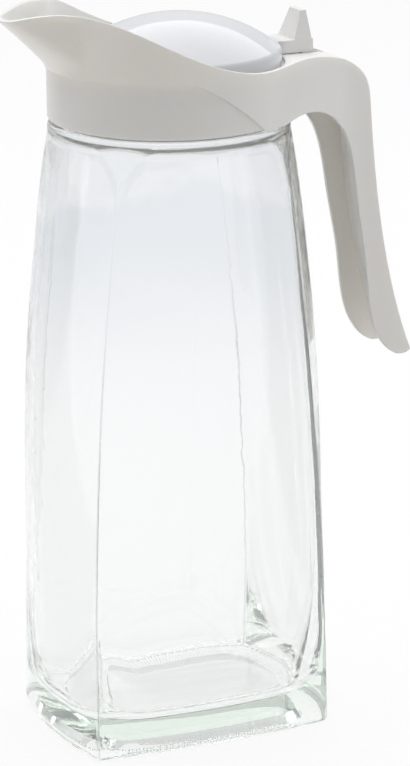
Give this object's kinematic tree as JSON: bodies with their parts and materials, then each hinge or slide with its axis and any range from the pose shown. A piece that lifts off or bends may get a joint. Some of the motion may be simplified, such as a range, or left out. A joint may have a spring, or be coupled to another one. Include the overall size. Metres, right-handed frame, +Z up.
{
  "type": "glass jug",
  "caption": "Tall glass jug with a bowed rectangular body, a moulded pouring collar with spout and long handle, and a hinged domed flap with a thumb tab.",
  "frame": {"origin": "centre of the glass body's foot, on the surface it stands on", "axes": "+Z up along the jug's axis, +X towards the handle, -X towards the spout"},
  "size_m": [0.1659, 0.0944, 0.2872],
  "materials": {
    "clear_glass": "clear pressed glass with a faint green edge tint",
    "white_moulding": "moulded off-white polypropylene, satin",
    "white_gloss": "moulded white plastic, glossy"
  },
  "bodies": {
    "jug": {"glass_body": "clear_glass", "collar": "white_moulding"},
    "flap": {"flap": "white_gloss"}
  },
  "joints": [
    {"name": "flap_hinge", "type": "hinge", "parent": "jug", "child": "flap", "pos_m": [0.0548, 0, 0.2606], "axis": [0, 1, 0], "range_deg": [0, 55]}
  ]
}
